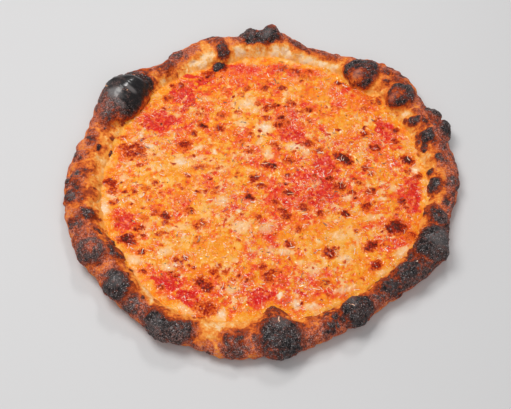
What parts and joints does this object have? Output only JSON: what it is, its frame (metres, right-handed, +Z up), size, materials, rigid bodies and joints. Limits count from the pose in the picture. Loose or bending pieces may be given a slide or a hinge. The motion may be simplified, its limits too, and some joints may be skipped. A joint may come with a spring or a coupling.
{
  "type": "cheese pizza",
  "caption": "Round, flat, baked cheese pizza: a thin dough base with a puffed, blistered and charred rim around tomato sauce and melted cheese.",
  "frame": {"origin": "middle of the flat underside of the base, on the surface that the pizza lies on", "axes": "+Z up out of the topping, +X to the right and +Y away from the viewer when the largest black blister is at the upper left"},
  "size_m": [0.3098, 0.3116, 0.0277],
  "materials": {
    "baked_dough": "baked bread crust, orange-brown with black char on the blisters, dry and slightly rough",
    "tomato_sauce": "wet red tomato sauce",
    "melted_cheese": "melted cheese, yellow to orange, oily, with browned spots"
  },
  "bodies": {
    "root": {"crust": "baked_dough", "tomato_sauce": "tomato_sauce", "melted_cheese": "melted_cheese"}
  },
  "joints": []
}
